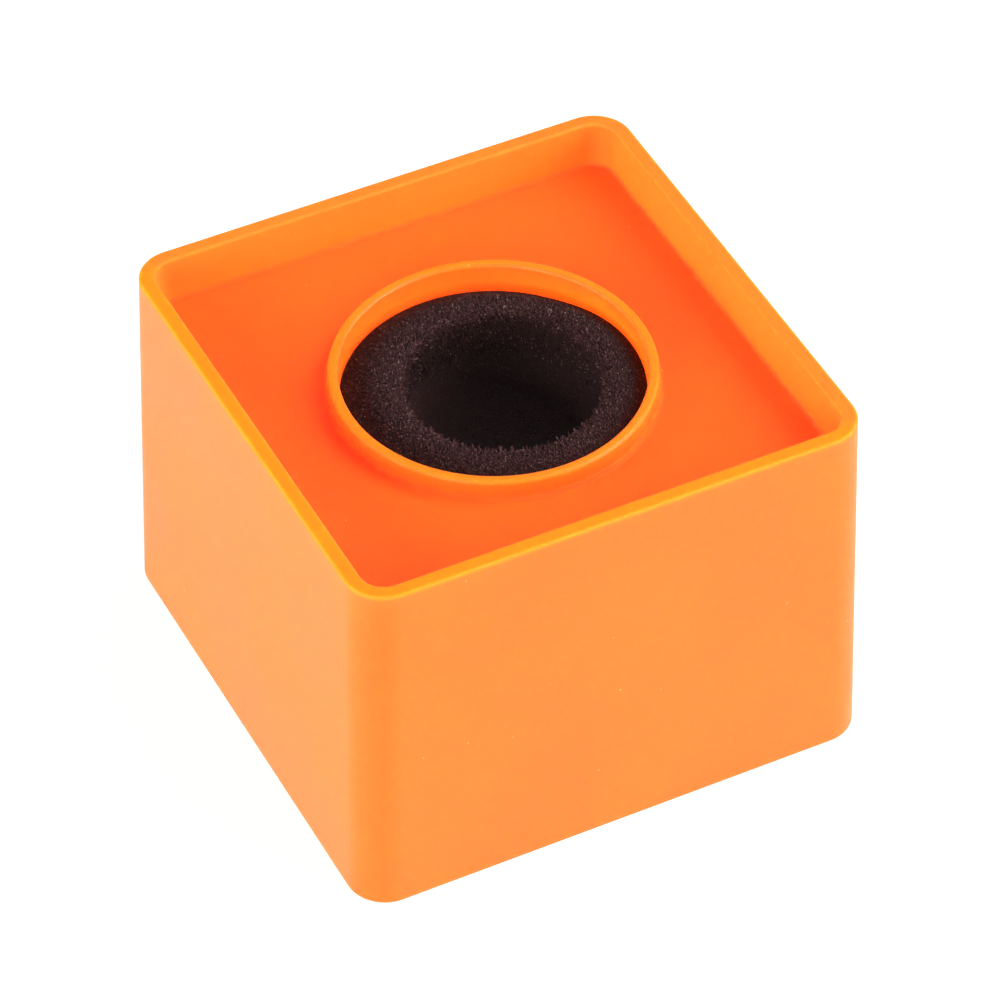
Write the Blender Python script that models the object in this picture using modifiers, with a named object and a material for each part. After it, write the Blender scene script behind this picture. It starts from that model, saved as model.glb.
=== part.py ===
"""Blank square microphone flag: a moulded plastic body and the foam sleeve that grips the microphone.

The body is one injection moulding, open underneath. Four walls stand round a sunken deck, and a round
tube passes through the deck: its top stands above the deck as a collar, and its lower end stops just
short of the table. The mould parts at the deck, where the tube's inside is narrowest.
The foam sleeve is pushed into the tube and pulls out of its top.

Metres, +Z up. The origin is the centre of the square that the flag stands on.
"""

import math

import bmesh
import bpy
from mathutils import Matrix

# Driving dimensions
RIM_SIDE = 0.0730  # outer width across the rim
HEIGHT = 0.0550
DRAFT = math.tan(math.radians(1.26))  # how far a wall or the collar leans, for each metre of height
TUBE_DRAFT = math.tan(math.radians(0.25))
WALL = 0.00215  # side wall, at the rim
CORNER_RADIUS = 0.0055  # outer upright corners
DECK_DEPTH = 0.0071  # rim down to the deck
DECK_THICKNESS = 0.0020
COLLAR_HEIGHT = 0.0030  # deck up to the collar's top
COLLAR_RADIUS = 0.0219  # outside of the collar, at its top
COLLAR_WALL = 0.00145
STANDS_CLEAR = 0.0010  # the tube's lower end above the table
EDGE_RADIUS = 0.0004  # every moulded edge, and the fillet in every inner corner
FOAM_HOLE_RADIUS = 0.0133
FOAM_SHOULDER = 0.0045  # from the tube's ends in to where the foam meets the tube
FOAM_CREST = 0.0018  # from the tube's ends in to the highest part of the foam's ends
FOAM_LIP_RADIUS = 0.0017  # rounding from the crest into the hole
GAP = 0.0003  # between the foam and the tube's narrowest part

# Levels and radii that follow from them
DECK_Z = HEIGHT - DECK_DEPTH
DECK_UNDERSIDE_Z = DECK_Z - DECK_THICKNESS
COLLAR_Z = DECK_Z + COLLAR_HEIGHT
FOOT_RADIUS = COLLAR_RADIUS + COLLAR_HEIGHT * DRAFT
TUBE_END_RADIUS = COLLAR_RADIUS - (DECK_UNDERSIDE_Z - STANDS_CLEAR) * TUBE_DRAFT
MOUTH_RADIUS = COLLAR_RADIUS - COLLAR_WALL
NECK_RADIUS = MOUTH_RADIUS - COLLAR_HEIGHT * DRAFT
BORE_BASE_RADIUS = NECK_RADIUS + (DECK_Z - STANDS_CLEAR) * TUBE_DRAFT
FOAM_RADIUS = NECK_RADIUS - GAP
INNER_CORNER_RADIUS = CORNER_RADIUS - WALL

OVERCUT = 0.0020  # how far a cutter runs past the face that it opens
ROUND_STEPS = 96  # sides of a round piece
CORNER_STEPS = 8
FOAM_STEPS = 64
LIP_STEPS = 6
SLOPE_STEPS = 8
SLOPE_POWER = 1.7  # how the slope from the crest out to the tube steepens
SHARP_ANGLE = math.radians(35)
MERGE = 0.00001

BODY_ORANGE = (1.0, 0.255, 0.018, 1.0)
FOAM_BLACK = (0.012, 0.011, 0.012, 1.0)


def clear_scene():
    for obj in list(bpy.data.objects):
        bpy.data.objects.remove(obj)


def new_collection(name):
    collection = bpy.data.collections.new(name)
    bpy.context.scene.collection.children.link(collection)
    return collection


def object_from(bm, name, collection):
    mesh = bpy.data.meshes.new(name)
    bm.to_mesh(mesh)
    bm.free()
    mesh.shade_smooth()
    mesh.set_sharp_from_angle(angle=SHARP_ANGLE)
    obj = bpy.data.objects.new(name, mesh)
    collection.objects.link(obj)
    return obj


def as_cutter(obj):
    obj.hide_render = True
    obj.display_type = "WIRE"
    return obj


def material(name, colour, roughness):
    made = bpy.data.materials.new(name)
    made.use_nodes = True
    made.diffuse_color = colour
    shader = made.node_tree.nodes["Principled BSDF"]
    shader.inputs["Base Color"].default_value = colour
    shader.inputs["Roughness"].default_value = roughness
    shader.inputs["Metallic"].default_value = 0.0
    return made


def outer_side(z):
    """Outer width of the body at a height: the walls lean out towards the table."""
    return RIM_SIDE + 2 * (HEIGHT - z) * DRAFT


def recess_side(z):
    """Width between the walls above the deck, which grows upwards."""
    return RIM_SIDE - 2 * WALL - 2 * (HEIGHT - z) * DRAFT


def hollow_side(z):
    """Width between the walls below the deck, where the wall keeps one thickness."""
    return outer_side(z) - 2 * WALL


def square_block(name, collection, side_at, bottom, top, corner_radius):
    """A block with rounded upright corners, whose width at a height is side_at(height)."""
    bm = bmesh.new()
    bmesh.ops.create_cube(bm, size=1.0)
    for vert in bm.verts:
        z = top if vert.co.z > 0 else bottom
        half = side_at(z) / 2
        vert.co = (math.copysign(half, vert.co.x), math.copysign(half, vert.co.y), z)
    upright = [edge for edge in bm.edges if edge.verts[0].co.z != edge.verts[1].co.z]
    bmesh.ops.bevel(
        bm, geom=upright, offset=corner_radius, segments=CORNER_STEPS, profile=0.5, affect="EDGES"
    )
    return object_from(bm, name, collection)


def cone_mesh(lower, upper, below=0.0, above=0.0):
    """A cone about Z through two (height, radius) pairs, run straight on below and above them."""
    slope = (upper[1] - lower[1]) / (upper[0] - lower[0])
    bottom, top = lower[0] - below, upper[0] + above
    bm = bmesh.new()
    bmesh.ops.create_cone(
        bm,
        cap_ends=True,
        segments=ROUND_STEPS,
        radius1=lower[1] - below * slope,
        radius2=upper[1] + above * slope,
        depth=top - bottom,
        matrix=Matrix.Translation((0.0, 0.0, (top + bottom) / 2)),
    )
    return bm


def cut(obj, cutter):
    modifier = obj.modifiers.new(f"cut {cutter.name}", "BOOLEAN")
    modifier.operation = "DIFFERENCE"
    modifier.object = as_cutter(cutter)
    modifier.solver = "EXACT"


def recess_cutter(cutters):
    """The square recess over the deck, round the collar."""
    recess = square_block(
        "recess_cutter", cutters, recess_side, DECK_Z, HEIGHT + OVERCUT, INNER_CORNER_RADIUS
    )
    foot, collar_top = (DECK_Z, FOOT_RADIUS), (COLLAR_Z, COLLAR_RADIUS)
    cut(recess, object_from(cone_mesh(foot, collar_top, below=OVERCUT), "collar_plug", cutters))
    return recess


def hollow_cutter(cutters):
    """The hollow under the deck, round the tube."""
    hollow = square_block(
        "hollow_cutter", cutters, hollow_side, -OVERCUT, DECK_UNDERSIDE_Z, INNER_CORNER_RADIUS
    )
    tube_end, tube_root = (STANDS_CLEAR, TUBE_END_RADIUS), (DECK_UNDERSIDE_Z, COLLAR_RADIUS)
    cut(hollow, object_from(cone_mesh(tube_end, tube_root, above=OVERCUT), "tube_plug", cutters))
    return hollow


def bore_cutter(cutters):
    """The tube's inside, narrowest at the deck, where the two halves of the mould meet."""
    bm = cone_mesh((STANDS_CLEAR, BORE_BASE_RADIUS), (DECK_Z, NECK_RADIUS), below=OVERCUT)
    neck = max(bm.faces, key=lambda face: face.calc_center_median().z)
    raised = bmesh.ops.extrude_face_region(bm, geom=[neck])["geom"]
    widening = (MOUTH_RADIUS + OVERCUT * DRAFT) / NECK_RADIUS
    for vert in (item for item in raised if isinstance(item, bmesh.types.BMVert)):
        vert.co = (vert.co.x * widening, vert.co.y * widening, COLLAR_Z + OVERCUT)
    bmesh.ops.delete(bm, geom=[neck], context="FACES_ONLY")
    return object_from(bm, "bore_cutter", cutters)


def make_body(parts, cutters):
    body = square_block("moulded_body", parts, outer_side, 0.0, HEIGHT, CORNER_RADIUS)
    for cutter in (recess_cutter(cutters), hollow_cutter(cutters), bore_cutter(cutters)):
        cut(body, cutter)
    edges = body.modifiers.new("moulded edges", "BEVEL")
    edges.width = EDGE_RADIUS
    edges.segments = 2
    edges.limit_method = "ANGLE"
    edges.angle_limit = SHARP_ANGLE
    body.data.materials.append(material("orange_abs", BODY_ORANGE, 0.35))
    return body


def foam_end():
    """(radius, height over the shoulder) across one end, from the hole out to the tube."""
    lip_centre = FOAM_HOLE_RADIUS + FOAM_LIP_RADIUS
    crest = FOAM_SHOULDER - FOAM_CREST
    for step in range(LIP_STEPS):
        angle = math.pi / 2 * (2 - step / LIP_STEPS)
        radius = lip_centre + FOAM_LIP_RADIUS * math.cos(angle)
        yield radius, crest - FOAM_LIP_RADIUS * (1 - math.sin(angle))
    for step in range(SLOPE_STEPS + 1):
        t = step / SLOPE_STEPS
        yield lip_centre + (FOAM_RADIUS - lip_centre) * t, crest * (1 - t**SLOPE_POWER)


def foam_section():
    """(radius, height) points round the sleeve's wall: over the top, then down the outer side."""
    upper_shoulder = COLLAR_Z - FOAM_SHOULDER
    lower_shoulder = STANDS_CLEAR + FOAM_SHOULDER
    upper = [(radius, upper_shoulder + height) for radius, height in foam_end()]
    lower = [(radius, lower_shoulder - height) for radius, height in foam_end()]
    return upper + lower[::-1]


def make_foam(parts):
    """The sleeve: its section turned about Z."""
    bm = bmesh.new()
    verts = [bm.verts.new((radius, 0.0, z)) for radius, z in foam_section()]
    for vert, following in zip(verts, verts[1:] + verts[:1]):
        bm.edges.new((vert, following))
    foam = object_from(bm, "foam_sleeve", parts)
    turn = foam.modifiers.new("turn", "SCREW")
    turn.angle = math.tau
    turn.steps = turn.render_steps = FOAM_STEPS
    turn.use_merge_vertices = True
    turn.merge_threshold = MERGE
    foam.data.materials.append(material("black_foam", FOAM_BLACK, 0.95))
    return foam


def main():
    clear_scene()
    parts = new_collection("microphone_flag")
    cutters = new_collection("cutters")
    make_body(parts, cutters)
    make_foam(parts)


main()
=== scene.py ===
"""Looks of the blank square microphone flag: a satin orange ABS body and a black open-cell foam sleeve.

Lengths are in mm where a name or a comment doesn't say metres; mesh points are brought to metres at the end.
"""

import math
import random

import bpy
import numpy as np
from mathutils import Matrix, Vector, noise


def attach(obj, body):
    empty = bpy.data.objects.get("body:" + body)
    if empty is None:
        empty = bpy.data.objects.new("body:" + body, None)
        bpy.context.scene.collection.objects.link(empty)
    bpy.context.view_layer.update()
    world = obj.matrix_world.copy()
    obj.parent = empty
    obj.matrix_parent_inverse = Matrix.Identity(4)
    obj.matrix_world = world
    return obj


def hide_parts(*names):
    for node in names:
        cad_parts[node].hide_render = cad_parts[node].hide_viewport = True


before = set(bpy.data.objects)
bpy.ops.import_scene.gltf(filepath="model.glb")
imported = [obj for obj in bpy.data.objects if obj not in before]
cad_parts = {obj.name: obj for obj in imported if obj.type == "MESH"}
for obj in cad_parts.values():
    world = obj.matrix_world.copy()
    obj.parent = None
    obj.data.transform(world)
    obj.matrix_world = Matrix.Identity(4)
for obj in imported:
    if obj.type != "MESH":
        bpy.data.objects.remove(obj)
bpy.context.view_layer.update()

MM = 0.001
RANDOM = random.Random(11)

# The body's section, in mm. Half widths are across the flats; the flare is the walls' lean per mm of height.
RIM_HALF = 36.5
HEIGHT = 55.0
FLARE = math.tan(math.radians(1.26))
WALL = 2.15
CORNER_RADIUS = 5.5
DECK_Z = 47.9
DECK_UNDERSIDE_Z = 45.9
COLLAR_Z = 50.9
COLLAR_RADIUS = 21.9
MOUTH_RADIUS = 20.45
NECK_RADIUS = 20.38
TUBE_END_Z = 1.0
TUBE_END_RADIUS = 21.7
BORE_BASE_RADIUS = 20.59

# The sleeve's section, in mm.
FOAM_RADIUS = 20.25
FOAM_HOLE_RADIUS = 13.3
FOAM_SHOULDER_Z = 46.4  # where the top end meets the tube
FOAM_LOW_SHOULDER_Z = 5.5
FOAM_CREST = 2.7  # the ends' highest part over the shoulder
FOAM_LIP_RADIUS = 1.7
SLOPE_POWER = 1.7

QUARTER_FLAT = 44  # loop points along each flat side
QUARTER_ARC = 20  # and round each corner


def mesh_object(name, points, faces, material):
    mesh = bpy.data.meshes.new(name)
    mesh.from_pydata([tuple(p) for p in points], [], faces)
    mesh.validate()
    mesh.shade_smooth()
    obj = bpy.data.objects.new(name, mesh)
    bpy.context.scene.collection.objects.link(obj)
    mesh.materials.append(material)
    return obj


def set_values(obj, name, values):
    """Store one number for each of the mesh's points, for its material to read."""
    attribute = obj.data.attributes.new(name, "FLOAT", "POINT")
    attribute.data.foreach_set("value", np.array(values, np.float32))


# ---------------------------------------------------------------- the moulded body


def outer_half(z):
    return RIM_HALF + (HEIGHT - z) * FLARE


def recess_half(z):
    return RIM_HALF - WALL - (HEIGHT - z) * FLARE


def hollow_half(z):
    return outer_half(z) - WALL


def square_loop(half, radius, z):
    """Points round a rounded square, counterclockwise from the -Y end of its +X side."""
    flat = half - radius
    side = [(half, flat * t) for t in np.linspace(-1, 1, QUARTER_FLAT, endpoint=False)]
    corner = [
        (flat + radius * math.cos(a), flat + radius * math.sin(a))
        for a in np.linspace(0, math.pi / 2, QUARTER_ARC, endpoint=False)
    ]
    points = []
    for turn in range(4):
        c, s = (1, 0, -1, 0)[turn], (0, 1, 0, -1)[turn]
        points += [(c * x - s * y, s * x + c * y, z) for x, y in side + corner]
    return np.array(points)


RECESS_OUTLINE = (34.2, 3.35)  # its half width and corner radius near the deck
TURNS = np.arctan2(*square_loop(*RECESS_OUTLINE, 0.0)[:, 1::-1].T)


def round_loop(radius, z):
    """Points round a circle, at the same bearings as those of the recess's outline."""
    return np.column_stack((radius * np.cos(TURNS), radius * np.sin(TURNS), np.full(len(TURNS), z)))


LOOP_KINDS = {
    "outer": lambda x, z: square_loop(x, CORNER_RADIUS + x - outer_half(z), z),
    "recess": lambda x, z: square_loop(x, CORNER_RADIUS - WALL + x - recess_half(z), z),
    "hollow": lambda x, z: square_loop(x, CORNER_RADIUS - WALL + x - hollow_half(z), z),
    "round": round_loop,
}

RIM_GLOW = 0.8  # from the rim's top down to where its paler edge, painted light, ends

# Corners of the section, up the outside and down the inside: out, height, fillet radius, kind of loop.
BODY_SECTION = (
    (outer_half(0.0), 0.0, 0.40, "outer"),
    (outer_half(HEIGHT - RIM_GLOW), HEIGHT - RIM_GLOW, 0.04, "outer"),
    (RIM_HALF, HEIGHT, 0.38, "outer"),
    (RIM_HALF - WALL, HEIGHT, 0.35, "recess"),
    (recess_half(DECK_Z), DECK_Z, 0.55, "recess"),
    (COLLAR_RADIUS + (COLLAR_Z - DECK_Z) * FLARE, DECK_Z, 0.70, "round"),
    (COLLAR_RADIUS, COLLAR_Z, 0.50, "round"),
    (MOUTH_RADIUS, COLLAR_Z, 0.40, "round"),
    (NECK_RADIUS, DECK_Z + 0.12, 0.04, "round"),
    (NECK_RADIUS - 0.02, DECK_Z, 0.04, "round"),
    (NECK_RADIUS, DECK_Z - 0.12, 0.04, "round"),
    (BORE_BASE_RADIUS, TUBE_END_Z, 0.40, "round"),
    (TUBE_END_RADIUS, TUBE_END_Z, 0.40, "round"),
    (COLLAR_RADIUS, DECK_UNDERSIDE_Z, 0.60, "round"),
    (hollow_half(DECK_UNDERSIDE_Z), DECK_UNDERSIDE_Z, 0.80, "hollow"),
    (hollow_half(0.0), 0.0, 0.40, "hollow"),
)
FILLET_STEPS = 6
SMALL_FILLET = 0.1  # one no larger than this has 2 steps
FILLET_SHARE = 0.45  # of a straight, the most that the fillet at one of its ends takes
STRAIGHT = math.radians(88)  # half the angle at a corner so flat that it needs no fillet
SUPPORT = 0.12  # from a fillet to the loop that keeps the flat beside it flat
LOOP_SPACING = 8  # the most between the loops across a flat

WALL_FROM = 30.0  # a point this far out, or further, belongs to the side walls
COLLAR_TO = 23.0  # and one nearer the axis than this to the collar and the tube
INSIDE_COLLAR = MOUTH_RADIUS + 0.3  # and one nearer than this to the tube's inside

# How much of the free edges' paler colour, painted light, each surface takes, from 0 to 1
RECESS_WALL_PAINTED_LIGHT = 0.72  # at RECESS_WALL_FOOT over the deck
RECESS_WALL_FOOT = 0.7
RECESS_WALL_LOSS = 0.04  # for each mm up from there
RECESS_WALL_FADE = 0.9  # below, it falls to 0 at the deck, at the rate of 1 over this height
RIM_FILLET = 0.30  # a point nearer than this to the recess's wall takes the wall's share, not the rim's
FAR_RIM_LOSS = 0.35  # painted shade: how much of the rim's painted light is lost on the +X and +Y sides
FAR_RIM_BLEND = 6.0  # over which that loss sets in, at the two corners between those sides and the others
COLLAR_INSIDE_PAINTED_LIGHT = 0.3
COLLAR_TOP_PAINTED_LIGHT = 0.82
COLLAR_POWER = 0.6  # the collar's outside fades down to the deck by its height to this power

# How the painted shade down the upright corners, a deeper colour, sets in
CORNER_RATE = 2.2  # round the corner's arc
CORNER_TOP = 0.5  # below the rim's top
CORNER_FADE = 1.5  # from there down to where it is full

# How the light through the collar sets in
GLOW_TOP = 0.8  # below the collar's top
GLOW_FADE = 2.0  # from there down to where it is full
GLOW_FOOT = 0.8  # from the deck's underside up to where it is full
GLOW_FROM = 0.4  # the cosine of the bearing from +X at which it grows stronger
GLOW_RANGE = 0.5  # from there to the cosine at which it is full
GLOW_ELSEWHERE = 0.4

# How far the dull fillets reach from the deck's level, and across the deck from the wall or the collar
FOLD_HEIGHT = 0.8
FOLD_WIDTH = 0.9
FOLD_FADE = 0.5  # the last part of either, over which they fade
DULL_EDGE = 0.6  # how dull the rim's two edges are, where a fillet at the deck is 1
RIM_TOP_HALF = 0.5  # from the middle of the rim's top to where its edges begin
RIM_EDGE_DEPTH = 0.6  # and how far down they go


def fillet(before, corner, after, radius):
    """Points of the arc that rounds a corner of the section, in order."""
    corner, before, after = Vector(corner), Vector(before), Vector(after)
    back, on = (before - corner).normalized(), (after - corner).normalized()
    half = back.angle(on) / 2
    if half > STRAIGHT:
        return [corner]
    shorter = min((before - corner).length, (after - corner).length)
    reach = min(radius / math.tan(half), FILLET_SHARE * shorter)
    radius = reach * math.tan(half)
    centre = corner + (back + on).normalized() * (radius / math.sin(half))
    start, end = corner + back * reach - centre, corner + on * reach - centre
    bearing = math.atan2(start.y, start.x)
    sweep = math.remainder(math.atan2(end.y, end.x) - bearing, math.tau)
    steps = FILLET_STEPS if radius > SMALL_FILLET else 2
    turns = [bearing + sweep * i / steps for i in range(steps + 1)]
    return [centre + radius * Vector((math.cos(a), math.sin(a))) for a in turns]


def half_width(points):
    """Half the width across the flats of the rounded square, shaped as the rim is, through each point."""
    flat = RIM_HALF - CORNER_RADIUS
    over = np.abs(points[:, :2]) - flat
    return flat + np.where(over.min(1) > 0, np.hypot(over[:, 0], over[:, 1]), over.max(1))


def painted_edge_light(points):
    """Painted light: up to 1 on the free edges of the rim and the collar, which are paler as light comes
    through, and less on the recess's walls and inside the collar.
    """
    out, z = half_width(points), points[:, 2]
    reach = np.hypot(points[:, 0], points[:, 1])
    on_wall = out > WALL_FROM
    up = z - DECK_Z
    above_foot = RECESS_WALL_PAINTED_LIGHT - RECESS_WALL_LOSS * (up - RECESS_WALL_FOOT)
    inner_wall = np.minimum(up / RECESS_WALL_FADE, above_foot)
    far, near = points[:, :2].max(1), (-points[:, :2]).max(1)
    far_side = np.clip(0.5 + (far - near) / FAR_RIM_BLEND, 0, 1)
    rim_top = ((z - HEIGHT) / RIM_GLOW + 1) * (1 - FAR_RIM_LOSS * far_side)
    rim = np.where(out < RIM_HALF - WALL + RIM_FILLET, inner_wall, rim_top)
    collar_inside = COLLAR_INSIDE_PAINTED_LIGHT * (z > DECK_UNDERSIDE_Z)
    collar_outside = COLLAR_TOP_PAINTED_LIGHT * (up / (COLLAR_Z - DECK_Z)).clip(0, 1) ** COLLAR_POWER
    collar = np.where(reach < INSIDE_COLLAR, collar_inside, collar_outside)
    return np.where(on_wall, rim, np.where(reach < COLLAR_TO, collar, 0.0)).clip(0, 1)


def painted_shade_on_corners(points):
    """Painted shade: 1 on the outside of the upright corners, which are darker, 0 on the flats."""
    over = np.abs(points[:, :2]) - (outer_half(points[:, 2]) - CORNER_RADIUS)[:, None]
    near, far = over.min(1).clip(0), over.max(1)
    outside = np.hypot(near, far) > CORNER_RADIUS - WALL / 2
    below_rim = np.clip((HEIGHT - CORNER_TOP - points[:, 2]) / CORNER_FADE, 0, 1)
    return np.clip(CORNER_RATE * near / far, 0, 1) * outside * below_rim


def glow(points):
    """Up to 1 inside the collar just above the foam, most on the +X side, where light comes through."""
    z, reach = points[:, 2], np.hypot(points[:, 0], points[:, 1])
    above = np.clip((COLLAR_Z - GLOW_TOP - z) / GLOW_FADE, 0, 1)
    below = np.clip((z - DECK_UNDERSIDE_Z) / GLOW_FOOT, 0, 1)
    side = np.clip((points[:, 0] / reach.clip(1) - GLOW_FROM) / GLOW_RANGE, 0, 1)
    return above * below * (GLOW_ELSEWHERE + (1 - GLOW_ELSEWHERE) * side) * (reach < INSIDE_COLLAR)


def crease(points):
    """1 in the fillets round the deck, which the mould leaves dull, DULL_EDGE on the rim's two edges."""
    out, z = half_width(points), points[:, 2]
    reach = np.hypot(points[:, 0], points[:, 1])
    near_deck = np.clip((FOLD_HEIGHT - np.abs(z - DECK_Z)) / FOLD_FADE, 0, 1)
    at_wall = np.clip((FOLD_WIDTH - (recess_half(DECK_Z) - out)) / FOLD_FADE, 0, 1)
    at_collar = np.clip((FOLD_WIDTH - (reach - COLLAR_RADIUS)) / FOLD_FADE, 0, 1)
    folds = near_deck * np.where(reach > INSIDE_COLLAR, np.maximum(at_wall, at_collar), 0.0)
    from_middle = np.abs(out - RIM_HALF + WALL / 2)
    on_rim_edge = (from_middle > RIM_TOP_HALF) & (z > HEIGHT - RIM_EDGE_DEPTH)
    return np.maximum(folds, DULL_EDGE * on_rim_edge)


def body_loops():
    """Closed loops of points round the body, in order along its section."""
    count = len(BODY_SECTION)
    corners = [Vector(corner[:2]) for corner in BODY_SECTION]
    arcs = [
        fillet(corners[i - 1], corners[i], corners[(i + 1) % count], BODY_SECTION[i][2])
        for i in range(count)
    ]
    rounded = [[LOOP_KINDS[corner[3]](*p) for p in arc] for corner, arc in zip(BODY_SECTION, arcs)]
    loops = []
    for i in range(count):
        ahead = (i + 1) % count
        loops += rounded[i]
        length = (arcs[ahead][0] - arcs[i][-1]).length
        if length > 4 * SUPPORT:
            start, end = rounded[i][-1], rounded[ahead][0]
            inner = np.linspace(SUPPORT / length, 1 - SUPPORT / length, 2 + int(length // LOOP_SPACING))
            loops += [start + (end - start) * t for t in inner]
    return loops


def make_body(material):
    loops = body_loops()
    count = len(loops[0])
    faces = []
    for i in range(len(loops)):
        here, after = i * count, (i + 1) % len(loops) * count
        for j in range(count):
            k = (j + 1) % count
            faces.append((here + j, here + k, after + k, after + j))
    points = np.concatenate(loops)
    body = mesh_object("flag_body", points * MM, faces, material)
    set_values(body, "painted_light", painted_edge_light(points))
    set_values(body, "crease", crease(points))
    set_values(body, "glow", glow(points))
    set_values(body, "painted_corner_shade", painted_shade_on_corners(points))
    return body


# ---------------------------------------------------------------- materials

# Colours are linear RGBA, texture scales are repeats per metre, and bumps are metres deep.

CLOUDY_ORANGES = ((0.995, 0.152, 0.0055, 1), (0.995, 0.163, 0.0063, 1))
# painted light: the paler orange where light comes through the edges, and on the recess's walls
PAINTED_LIGHT_ORANGE = (1.0, 0.262, 0.009, 1)
# painted shade: the deeper orange down the upright corners
CORNER_SHADE_ORANGE = (0.99, 0.146, 0.001, 1)
# painted light: the palest orange, where that painted light is strongest
PAINTED_EDGE_LIGHT_ORANGE = (1.0, 0.270, 0.001, 1)
# painted glow: a faint red emission all over that lifts the shade, without green or blue where the painted
# light is strongest
PAINTED_RED_GLOW = (0.20, 0.010, 0.0068, 1)
EDGE_PAINTED_RED_GLOW = (0.20, 0.0, 0.0, 1)
LIGHT_THROUGH = (1.0, 0.112, 0.006, 1)
DARK_DUST = (0.55, 0.09, 0.01, 1)
PALE_DUST = (1.0, 0.42, 0.14, 1)

PORE_BLACK = (0.0095, 0.0028, 0.0028, 1)
# painted light: struts, bristle tips and cell walls lighter than the black pores, as they catch the light
STRUT_LIT_GREY = (0.108, 0.050, 0.047, 1)
TIP_GLINT_GREY = (0.34, 0.29, 0.285, 1)
WEB_LIT_GREY = (0.050, 0.024, 0.023, 1)
PLAIN_WEB_LIT_GREY = (0.036, 0.0265, 0.026, 1)
GLINT_GREY = (0.23, 0.20, 0.195, 1)
# painted light: the plain, lighter grey deep in the hole
DEEP_PAINTED_LIGHT_GREY = (0.070, 0.033, 0.033, 1)


class Shader:
    """A new material's node tree, with short ways to add and join nodes."""

    def __init__(self, name, **inputs):
        self.material = bpy.data.materials.new(name)
        self.material.use_nodes = True
        self.tree = self.material.node_tree
        self.surface = self.tree.nodes["Principled BSDF"]
        for key, value in inputs.items():
            self.surface.inputs[key.replace("_", " ")].default_value = value

    def node(self, kind, settings=None, **inputs):
        """A node with these settings; an input is given by its name, or by its number after a "_"."""
        made = self.tree.nodes.new("ShaderNode" + kind)
        for key, value in (settings or {}).items():
            setattr(made, key, value)
        for key, value in inputs.items():
            self.feed(made.inputs[int(key[1:]) if key[0] == "_" else key.replace("_", " ").title()], value)
        return made

    def feed(self, socket, value):
        """Give an input a number or a colour, or the output of another node."""
        if isinstance(value, bpy.types.NodeSocket):
            self.tree.links.new(value, socket)
        else:
            socket.default_value = value

    def link(self, output, socket):
        self.tree.links.new(output, self.surface.inputs[socket])

    def attribute(self, name):
        return self.node("Attribute", {"attribute_name": name}).outputs["Fac"]

    def math(self, operation, a, b):
        return self.node("Math", {"operation": operation}, _0=a, _1=b).outputs[0]

    def ramp(self, value, low, high, to_low=0.0, to_high=1.0):
        """value brought from the range low..high to the range to_low..to_high, smoothly, and held there."""
        made = self.node("MapRange", {"interpolation_type": "SMOOTHSTEP"})
        for socket, given in zip(made.inputs, (value, low, high, to_low, to_high)):
            self.feed(socket, given)
        return made.outputs[0]

    def mix(self, factor, a, b):
        made = self.node("Mix", {"data_type": "RGBA"})
        for index, given in ((0, factor), (6, a), (7, b)):
            self.feed(made.inputs[index], given)
        return made.outputs[2]

    def bump(self, height, distance, after=None):
        """A normal that shows height as relief, distance deep, over the normal of an earlier bump."""
        made = self.node("Bump", None, Height=height, Distance=distance, Strength=1.0)
        if after is not None:
            self.tree.links.new(after, made.inputs["Normal"])
        return made.outputs[0]


def orange_abs():
    s = Shader("orange_abs_satin", Roughness=0.38, IOR=1.36, Metallic=0.0)
    s.surface.inputs["Subsurface Weight"].default_value = 1.0
    s.surface.inputs["Subsurface Radius"].default_value = (1.0, 0.22, 0.05)
    s.surface.inputs["Subsurface Scale"].default_value = 0.0080
    s.surface.inputs["Emission Strength"].default_value = 1.0
    place = s.node("TexCoord").outputs["Object"]
    cloudy = s.node("TexNoise", None, Vector=place, Scale=45.0, Detail=3.0, Roughness=0.5).outputs["Fac"]
    colour = s.mix(s.ramp(cloudy, 0.35, 0.65), *CLOUDY_ORANGES)
    # painted light on the rim's and collar's edges and the recess's walls
    painted_light = s.attribute("painted_light")
    colour = s.mix(painted_light, colour, PAINTED_LIGHT_ORANGE)
    # painted shade down the upright corners
    colour = s.mix(s.attribute("painted_corner_shade"), colour, CORNER_SHADE_ORANGE)
    edge = s.ramp(painted_light, 0.70, 0.95)
    colour = s.mix(edge, colour, PAINTED_EDGE_LIGHT_ORANGE)
    # painted glow, a red emission that lifts the shade
    painted_red_glow = s.mix(edge, PAINTED_RED_GLOW, EDGE_PAINTED_RED_GLOW)
    s.link(s.mix(s.attribute("glow"), painted_red_glow, LIGHT_THROUGH), "Emission Color")
    dust = s.node("TexVoronoi", None, Vector=place, Scale=320.0)
    kind = s.node("SeparateColor", None, Color=dust.outputs["Color"]).outputs
    inside = s.ramp(dust.outputs["Distance"], 0.025, 0.055, 1.0, 0.0)
    speck = s.math("MULTIPLY", inside, s.ramp(kind[0], 0.3, 1.0))
    dust_colour = s.mix(s.math("GREATER_THAN", kind[1], 0.6), PALE_DUST, DARK_DUST)
    s.link(s.mix(speck, colour, dust_colour), "Base Color")
    grain = s.node("TexNoise", None, Vector=place, Scale=3800.0, Detail=2.0, Roughness=0.6).outputs["Fac"]
    orange_peel = s.node("TexNoise", None, Vector=place, Scale=260.0, Detail=1.0).outputs["Fac"]
    normal = s.bump(grain, 0.000012)
    s.link(s.bump(orange_peel, 0.000004, after=normal), "Normal")
    satin = s.ramp(cloudy, 0.3, 0.7, 0.36, 0.43)
    s.link(s.math("ADD", satin, s.math("MULTIPLY", s.attribute("crease"), 0.5)), "Roughness")
    return s.material


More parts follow.
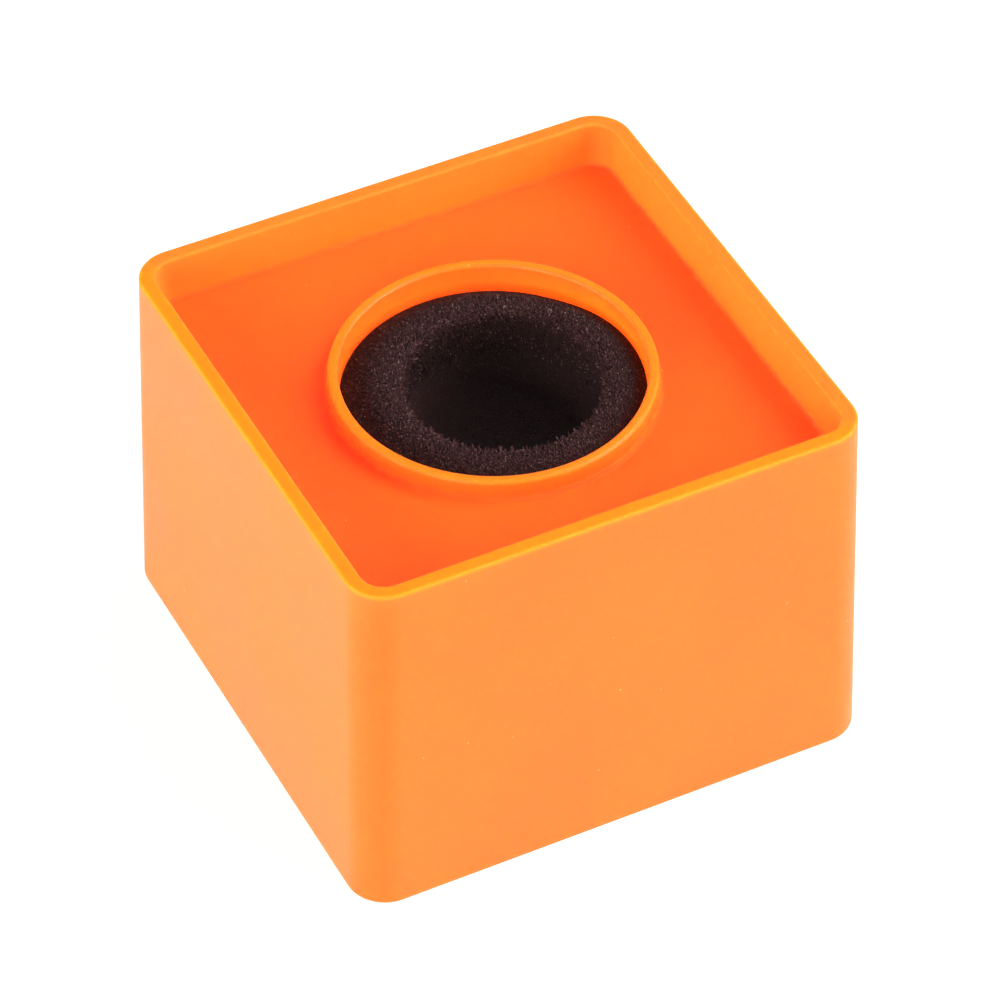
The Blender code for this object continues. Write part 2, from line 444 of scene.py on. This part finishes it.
def black_foam():
    s = Shader("black_open_cell_foam", Roughness=0.7, IOR=1.45, Metallic=0.0)
    s.surface.inputs["Specular IOR Level"].default_value = 0.25
    place = s.node("TexCoord").outputs["Object"]
    strut = s.attribute("strut")
    cells = s.node("TexVoronoi", {"feature": "DISTANCE_TO_EDGE"}, Vector=place, Scale=2300.0)
    web = s.ramp(cells.outputs["Distance"], 0.03, 0.22, 1.0, 0.0)
    # painted light: the struts and bristle tips lighter, as they catch the light
    colour = s.mix(s.ramp(strut, 0.15, 0.90), PORE_BLACK, STRUT_LIT_GREY)
    colour = s.mix(s.ramp(strut, 0.85, 1.50), colour, TIP_GLINT_GREY)
    # painted light on the cell walls
    plain = s.attribute("plain")
    woven = s.math("MULTIPLY", web, s.ramp(plain, 0.0, 1.0, 0.25, 0.8))
    colour = s.mix(woven, colour, s.mix(plain, WEB_LIT_GREY, PLAIN_WEB_LIT_GREY))
    glint = s.node("TexVoronoi", None, Vector=place, Scale=2700.0)
    lit = s.ramp(glint.outputs["Distance"], 0.12, 0.30, 1.0, 0.0)
    chosen = s.ramp(s.node("SeparateColor", None, Color=glint.outputs["Color"]).outputs[0], 0.70, 1.0)
    colour = s.mix(s.math("MULTIPLY", lit, chosen), colour, GLINT_GREY)
    # painted light deep in the hole
    s.link(s.mix(s.attribute("painted_deep_light"), colour, DEEP_PAINTED_LIGHT_GREY), "Base Color")
    s.link(s.bump(web, 0.00012), "Normal")
    return s.material


# ---------------------------------------------------------------- the foam sleeve

CELL = 0.50  # across one pore
PORE_WALL = 0.16  # breadth of the pores' walls, in cells
PORE_STRUT = 0.22  # and of the struts where walls meet
BRISTLE_SHARE = 0.20  # of the fine points that stand up from the skin as cut struts
BRISTLE_LENGTHS = (0.10, 0.50)
LIP_BRISTLES = 1.9  # how many times longer, and twice as broad, some are round the hole's lip
BRISTLE_LEAN = (0.45, 0.45)  # how far they lean upwards, and at random
BRISTLES_FADE = (1.0, 3.8)  # from the tube's wall, over which they grow to their full height
LIP_SHARE = 0.35  # of the lip's bristles that are longer and broader
BRIGHT_SHARE = 0.12  # of all bristles that catch the light
FINE = 768  # columns round the sleeve where its pores are modelled
COARSE = 384
FINE_DEPTH = 5  # how far down the hole the pores are modelled
TOP_ROWS = (40, 22)  # rows across the top end's slope and round its lip
FINE_HOLE_ROWS = 22
HOLE_ROWS = 26
UNDER_ROWS = (12, 8)
OUTSIDE_ROWS = 36
PIT_DEPTH = 0.20
PIT_LEVEL = 0.6  # the pore height, from 0 to 1, that lies on the plain surface
PITS_FADE = (-0.3, 0.8)  # from the tube's wall
WAVE = 3.0  # across the foam's gentle unevenness
WAVE_HEIGHT = 0.06
WAVES_FADE = (0.0, 0.8)  # from the tube's wall
SUNK = (0.4, 2.3)  # below the crest, where the hole's wall starts to lie in the dark, and where it all does
SUNK_LOSS = 0.6  # of the strut value there
DEEP = (30.0, 44.0)  # painted light: heights between which the hole's wall turns to one plain, lighter grey, going down
HOLE_SHIFT = Vector((1.16, -0.58, 0.0))  # the hole's mouth is pulled this far off the axis
SHIFT_FADES = (24.0, 44.0)  # between these heights
EDGE_RISE = 0.85  # by which the top end's outer edge stands higher on one side
RISE_SIDE = Vector((0.96, -0.28, 0.0))
RISE_COSINES = (0.5, 1.0)  # of the bearing from that side, between which the edge rises
EDGE_SPREAD = 0.11  # by which the top end swells to meet the tube
EDGE_FROM = (42.0, 46.0)  # heights between which the rise and the swelling set in


def foam_end(slope_rows, lip_rows):
    """(out, height over the shoulder) across one end, from the tube in to the hole."""
    lip = FOAM_HOLE_RADIUS + FOAM_LIP_RADIUS
    for t in np.linspace(1, 0, slope_rows, endpoint=False):
        yield lip + (FOAM_RADIUS - lip) * t, FOAM_CREST * (1 - t**SLOPE_POWER)
    for a in np.linspace(math.pi / 2, math.pi, lip_rows):
        yield lip + FOAM_LIP_RADIUS * math.cos(a), FOAM_CREST - FOAM_LIP_RADIUS * (1 - math.sin(a))


def foam_section():
    """(out, up, columns) of rows along the sleeve's wall: over the top, down the hole, up the outside."""
    rows = [(out, FOAM_SHOULDER_Z + up, FINE) for out, up in foam_end(*TOP_ROWS)]
    top, bottom = rows[-1][1], FOAM_LOW_SHOULDER_Z - FOAM_CREST + FOAM_LIP_RADIUS
    fine_to = top - FINE_DEPTH
    rows += [(FOAM_HOLE_RADIUS, z, FINE) for z in np.linspace(top, fine_to, FINE_HOLE_ROWS)[1:]]
    rows += [(FOAM_HOLE_RADIUS, z, COARSE) for z in np.linspace(fine_to, bottom, HOLE_ROWS)[1:-1]]
    under = [(out, FOAM_LOW_SHOULDER_Z - up, COARSE) for out, up in foam_end(*UNDER_ROWS)]
    rows += under[::-1]
    outside = np.linspace(FOAM_LOW_SHOULDER_Z, FOAM_SHOULDER_Z, OUTSIDE_ROWS)
    rows += [(FOAM_RADIUS, z, COARSE) for z in outside[1:-1]]
    return rows


def outward(rows):
    """The outward direction of the section at each of its rows."""
    line = np.array([row[:2] for row in rows])
    along = np.roll(line, -1, 0) - np.roll(line, 1, 0)
    across = np.column_stack((-along[:, 1], along[:, 0]))
    return -across / np.linalg.norm(across, axis=1)[:, None]


def smooth(value, low, high):
    """0 below low, 1 above high, with a smooth rise between."""
    t = min(max((value - low) / (high - low), 0.0), 1.0)
    return t * t * (3 - 2 * t)


def pore_height(point):
    """0 at the bottom of a pore, 1 where cell walls meet, for a point in mm."""
    near = noise.voronoi(point / CELL)[0]
    wall = math.exp(-(((near[1] - near[0]) / PORE_WALL) ** 2))
    strut = math.exp(-(((near[2] - near[0]) / PORE_STRUT) ** 2))
    return 0.5 * wall + 0.5 * strut


def bristle_roots(columns, above):
    """Which points of a row carry a bristle, none of them beside another or beside one in the row above."""
    roots = [False] * columns
    for j in range(columns):
        near = roots[j - 1] or any(above[(j + step) % columns] for step in (-1, 0, 1))
        roots[j] = not near and RANDOM.random() < BRISTLE_SHARE
    return roots


def bristle_offset(normal):
    """From a bristle's root to its tip, in mm."""
    upward, loose = BRISTLE_LEAN
    stray = Vector([RANDOM.uniform(-loose, loose) for _ in range(3)])
    return (normal + Vector((0, 0, upward)) + stray).normalized() * RANDOM.uniform(*BRISTLE_LENGTHS)


def pulled(point):
    """Where a point of the round sleeve lies, in mm: its mouth is off the axis and its top edge uneven."""
    reach = math.hypot(point.x, point.y)
    outer = smooth(reach, FOAM_HOLE_RADIUS + FOAM_LIP_RADIUS, FOAM_RADIUS)
    edge = outer * smooth(point.z, *EDGE_FROM)
    spread = edge**3 * EDGE_SPREAD / reach
    rise = edge * EDGE_RISE * smooth(point.dot(RISE_SIDE) / reach, *RISE_COSINES)
    moved = point + HOLE_SHIFT * (1 - outer) * smooth(point.z, *SHIFT_FADES)
    return moved + Vector((point.x * spread, point.y * spread, rise))


def stitch(lower, lower_count, upper, upper_count):
    """Faces between two rows of points round the sleeve, where one may have twice the other's points."""
    if lower_count == upper_count:
        return [
            (lower + j, lower + (j + 1) % lower_count, upper + (j + 1) % upper_count, upper + j)
            for j in range(lower_count)
        ]
    coarse, fine = min(lower_count, upper_count), max(lower_count, upper_count)
    flip = lower_count > upper_count
    a, b = (upper, lower) if flip else (lower, upper)
    faces = []
    for j in range(coarse):
        k, left, mid, right = (j + 1) % coarse, 2 * j, 2 * j + 1, (2 * j + 2) % fine
        faces += [(a + j, b + mid, b + left), (a + j, a + k, b + mid), (a + k, b + right, b + mid)]
    return [face[::-1] for face in faces] if flip else faces


def bristle(normal, growth, at_lip, sunk):
    """A bristle's offset from its root to its tip, its strut value, and whether it is two columns broad."""
    stretch = LIP_BRISTLES if at_lip and RANDOM.random() < LIP_SHARE else 1.0
    offset = bristle_offset(normal) * growth * stretch
    bright = RANDOM.random() < BRIGHT_SHARE
    strut = 0.25 + growth * RANDOM.uniform(0.2, 1.1) / stretch + bright * (0.7 + 1.4 * sunk)
    return offset, strut, stretch > 1


def in_hole(out):
    return out < FOAM_HOLE_RADIUS + FOAM_LIP_RADIUS / 2


def skin_row(out, up, columns, outward_at, roots):
    """A row's points round the sleeve, and each one's strut value, which sets the painted light on the
    struts: 0 in a pore, 1 and more on a strut.
    """
    fine = columns == FINE
    from_tube = FOAM_RADIUS - out
    sunk = smooth(FOAM_SHOULDER_Z + FOAM_CREST - up, *SUNK) if in_hole(out) else 0.0
    growth = smooth(from_tube, *BRISTLES_FADE) if fine else 0.0
    at_lip = FOAM_HOLE_RADIUS < out < FOAM_HOLE_RADIUS + 0.8 * FOAM_LIP_RADIUS
    points, struts = [], []
    broad = None
    for j in range(columns):
        turn = math.tau * j / columns
        c, s = math.cos(turn), math.sin(turn)
        point = Vector((out * c, out * s, up))
        height = pore_height(point) if fine else 0.0
        normal = Vector((outward_at[0] * c, outward_at[0] * s, outward_at[1]))
        pit = (height - PIT_LEVEL) * PIT_DEPTH * smooth(from_tube, *PITS_FADE) * fine
        wave = noise.noise(point / WAVE) * WAVE_HEIGHT * smooth(from_tube, *WAVES_FADE)
        raised = normal * (wave + pit)
        strut = 0.15 + 0.35 * height
        if broad:
            raised, strut = broad
            broad = None
        elif fine and roots[j]:
            offset, strut, is_broad = bristle(normal, growth, at_lip, sunk)
            raised += offset
            broad = (raised, strut) if is_broad else None
        points.append(pulled(point + raised))
        struts.append(strut * (1 - SUNK_LOSS * sunk))
    return points, struts


def make_foam(material):
    rows = foam_section()
    points, struts, depths, plain, starts = [], [], [], [], []
    roots = [False] * FINE
    for (out, up, columns), outward_at in zip(rows, outward(rows)):
        roots = bristle_roots(FINE, roots)
        row_points, row_struts = skin_row(out, up, columns, outward_at, roots)
        starts.append(len(points))
        points += row_points
        struts += row_struts
        depths += [1 - smooth(up, *DEEP) if in_hole(out) else 0.0] * columns
        plain += [float(columns == COARSE and not in_hole(out))] * columns
    faces = []
    for i in range(len(rows)):
        j = (i + 1) % len(rows)
        faces += stitch(starts[i], rows[i][2], starts[j], rows[j][2])
    obj = mesh_object("foam_sleeve_skin", np.array(points) * MM, [f[::-1] for f in faces], material)
    set_values(obj, "strut", struts)
    set_values(obj, "painted_deep_light", depths)
    set_values(obj, "plain", plain)
    return obj


# ---------------------------------------------------------------- studio

AZIMUTH = -26.72  # degrees, as all bearings and elevations here
ELEVATION = 43.67
CAMERA_DISTANCE = 0.7425  # metres
LENS = 198.8
SENSOR = 36.0
SHIFT = (0.00655, -0.00333)  # of the sensor's width

LAMP_COLOUR = (1.3, 1.0, 1.0)  # warm, and over 1 in red
# name, bearing, elevation, distance, width and height in metres, watts
SOFTBOXES = (
    ("left_softbox", -95, 15, 1.3, 0.8, 0.8, 14.2),
    ("front_left_softbox", -50, 15, 1.4, 0.6, 0.6, 12.3),
    ("right_softbox", 50, 15, 1.3, 1.0, 0.8, 17.0),
    ("high_right_softbox", 75, 50, 1.3, 1.0, 0.8, 12.1),
)

FLOOR_HALF = 6.0  # metres, half the side
FLOOR_DROP = 0.0002  # metres, so that the floor and the body's foot don't lie in one plane

HORIZON_GLOW = 0.7
DOME_GLOW = 0.25
GLOW_SINES = (0.05, 0.30)  # of the elevation, between which the one goes over into the other


def direction(azimuth, elevation):
    """Unit vector from the object towards a bearing; azimuth 0 looks from -Y and grows towards +X."""
    a, e = math.radians(azimuth), math.radians(elevation)
    return Vector((math.sin(a) * math.cos(e), -math.cos(a) * math.cos(e), math.sin(e)))


def aim(obj, target):
    obj.rotation_euler = (target - obj.location).to_track_quat("-Z", "Y").to_euler()


def make_camera(target):
    data = bpy.data.cameras.new("camera")
    data.lens = LENS
    data.sensor_width = SENSOR
    data.shift_x, data.shift_y = SHIFT
    camera = bpy.data.objects.new("camera", data)
    bpy.context.scene.collection.objects.link(camera)
    camera.location = target + direction(AZIMUTH, ELEVATION) * CAMERA_DISTANCE
    aim(camera, target)
    bpy.context.scene.camera = camera


def softbox(name, azimuth, elevation, distance, width, height, watts, target):
    data = bpy.data.lights.new(name, "AREA")
    data.shape = "RECTANGLE"
    data.size, data.size_y = width, height
    data.energy = watts
    lamp = bpy.data.objects.new(name, data)
    bpy.context.scene.collection.objects.link(lamp)
    data.color = LAMP_COLOUR
    lamp.location = target + direction(azimuth, elevation) * distance
    aim(lamp, target)


def make_floor():
    s = Shader("white_sweep", Roughness=0.9)
    s.surface.inputs["Base Color"].default_value = (0.40, 0.40, 0.40, 1)
    s.surface.inputs["Emission Color"].default_value = (1, 1, 1, 1)
    s.surface.inputs["Emission Strength"].default_value = 0.75
    corners = [(x * FLOOR_HALF, y * FLOOR_HALF, 0) for x, y in ((-1, -1), (1, -1), (1, 1), (-1, 1))]
    floor = mesh_object("studio_floor", corners, [(0, 1, 2, 3)], s.material)
    floor.location.z = -FLOOR_DROP


def make_world():
    """A white band round the horizon, as a studio's pale walls give, under a dim ceiling."""
    world = bpy.data.worlds.new("studio")
    world.use_nodes = True
    bpy.context.scene.world = world
    nodes, links = world.node_tree.nodes, world.node_tree.links
    place = nodes.new("ShaderNodeTexCoord")
    split = nodes.new("ShaderNodeSeparateXYZ")
    fade = nodes.new("ShaderNodeMapRange")
    fade.name = "fade"
    fade.interpolation_type = "SMOOTHSTEP"
    for socket, value in zip(fade.inputs[1:], (*GLOW_SINES, HORIZON_GLOW, DOME_GLOW)):
        socket.default_value = value
    links.new(place.outputs["Generated"], split.inputs[0])
    links.new(split.outputs["Z"], fade.inputs[0])
    links.new(fade.outputs[0], nodes["Background"].inputs["Strength"])
    nodes["Background"].inputs["Color"].default_value = (1, 1, 1, 1)


def main():
    body = make_body(orange_abs())
    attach(body, "body")
    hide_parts("moulded_body")
    foam = make_foam(black_foam())
    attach(foam, "foam")
    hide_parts("foam_sleeve")
    target = Vector((0, 0, HEIGHT * MM / 2))
    make_floor()
    make_world()
    for lamp in SOFTBOXES:
        softbox(*lamp, target)
    make_camera(target)
    bpy.context.scene.view_settings.view_transform = "Standard"


main()
